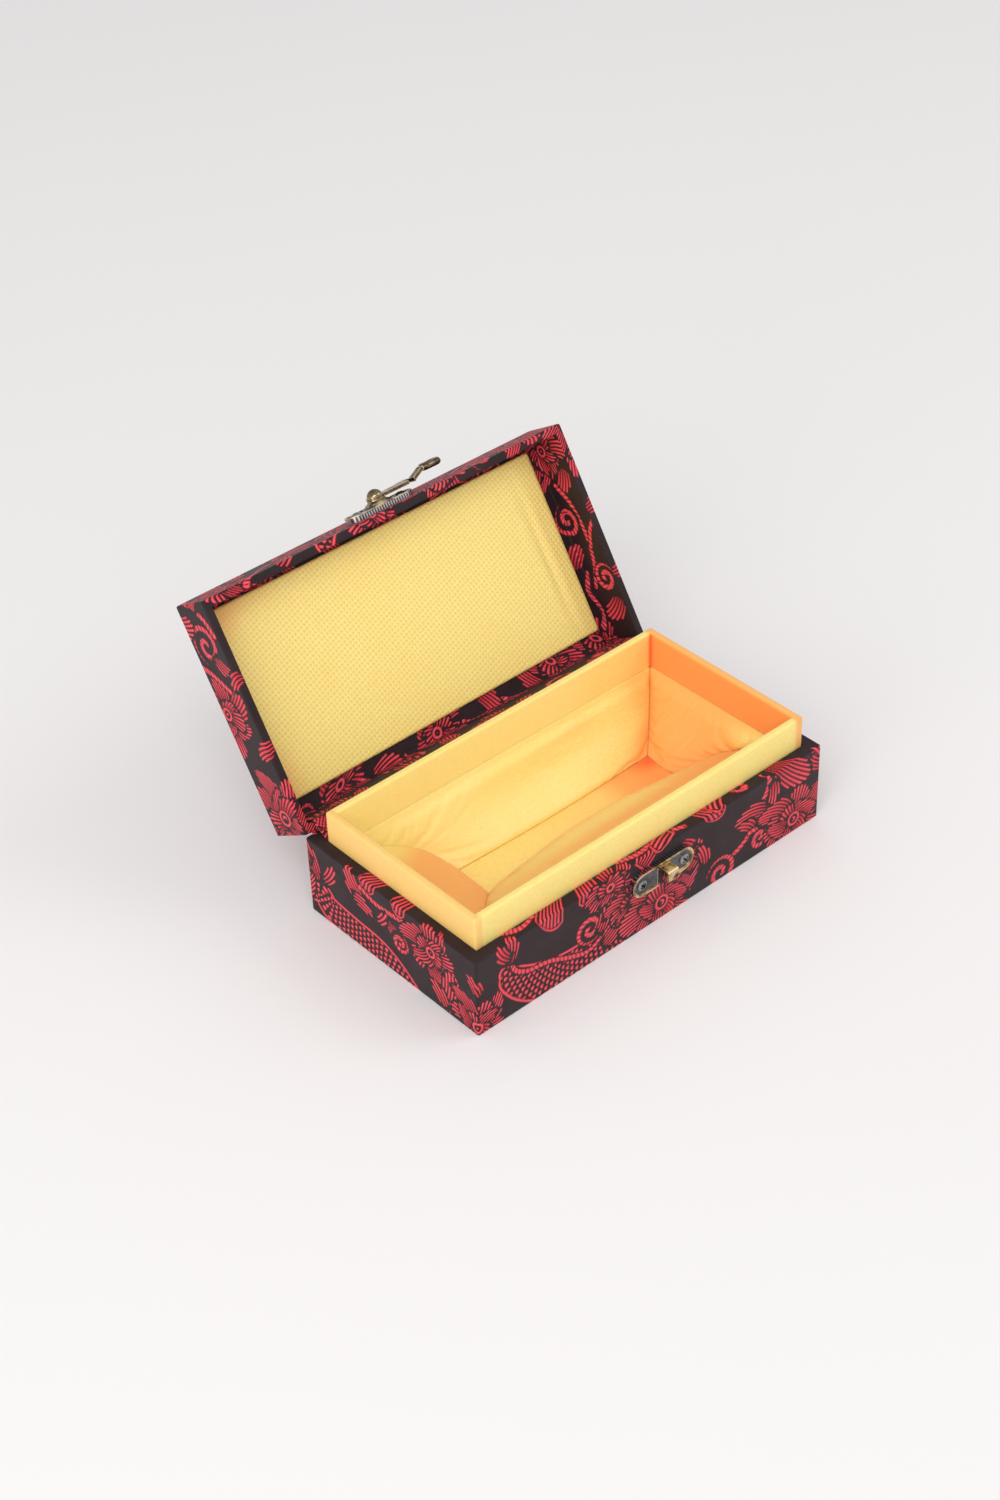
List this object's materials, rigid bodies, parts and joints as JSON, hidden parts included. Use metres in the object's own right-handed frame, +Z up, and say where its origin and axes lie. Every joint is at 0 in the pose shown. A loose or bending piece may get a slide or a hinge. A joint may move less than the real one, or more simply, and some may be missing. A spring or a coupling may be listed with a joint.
{
  "type": "brocade keepsake box",
  "caption": "Brocade-covered hinged keepsake box standing open, with a raised satin neck, padded satin lining and a swing-hook hasp.",
  "frame": {"origin": "centre of the base's underside, on the surface that the box stands on", "axes": "+X along the length to the right seen from the front, +Y to the back where the lid is hinged, +Z up"},
  "size_m": [0.17, 0.1639, 0.1154],
  "materials": {
    "greyboard": "matte bookbinding board",
    "card": "matte card",
    "brocade": "dark satin ground with raised crimson threads",
    "plain_cloth": "plain dark cloth",
    "yellow_satin": "bright fine-ribbed satin",
    "gold_satin": "padded bright satin",
    "antique_brass": "antiqued, worn bright on the edges",
    "screw_steel": "dull grey"
  },
  "bodies": {
    "base": {"base_floor_board": "greyboard", "base_front_board": "greyboard", "base_back_board": "greyboard", "base_left_board": "greyboard", "base_right_board": "greyboard", "base_brocade_cover": "brocade", "base_bottom_cloth": "plain_cloth", "neck_front_board": "greyboard", "neck_back_board": "greyboard", "neck_left_board": "greyboard", "neck_right_board": "greyboard", "neck_satin_cover": "yellow_satin", "floor_card": "card", "floor_satin_pad": "gold_satin", "lining_pad_front": "gold_satin", "lining_pad_back": "gold_satin", "lining_pad_left": "gold_satin", "lining_pad_right": "gold_satin", "hinge_cloth_base": "brocade", "hinge_strip_base": "plain_cloth", "staple_plate": "antique_brass", "staple_screws": "screw_steel"},
    "lid": {"lid_top_board": "greyboard", "lid_front_board": "greyboard", "lid_back_board": "greyboard", "lid_left_board": "greyboard", "lid_right_board": "greyboard", "lid_brocade_cover": "brocade", "lid_inner_brocade": "brocade", "lid_panel_card": "card", "lid_panel_satin": "yellow_satin", "hinge_cloth_lid": "brocade", "hinge_strip_lid": "plain_cloth", "hasp_plate": "antique_brass", "hasp_screws": "screw_steel", "hook_rivet": "antique_brass"},
    "hook": {"swing_hook": "antique_brass"}
  },
  "joints": [
    {"name": "lid_hinge", "type": "hinge", "parent": "base", "child": "lid", "pos_m": [0, 0.0455, 0.0345], "axis": [1, 0, 0], "range_deg": [0, 122]},
    {"name": "hook_pivot", "type": "hinge", "parent": "lid", "child": "hook", "pos_m": [0.0015, 0.10093, 0.10717], "axis": [0, -0.5299, -0.848], "range_deg": [-90, 90]}
  ]
}
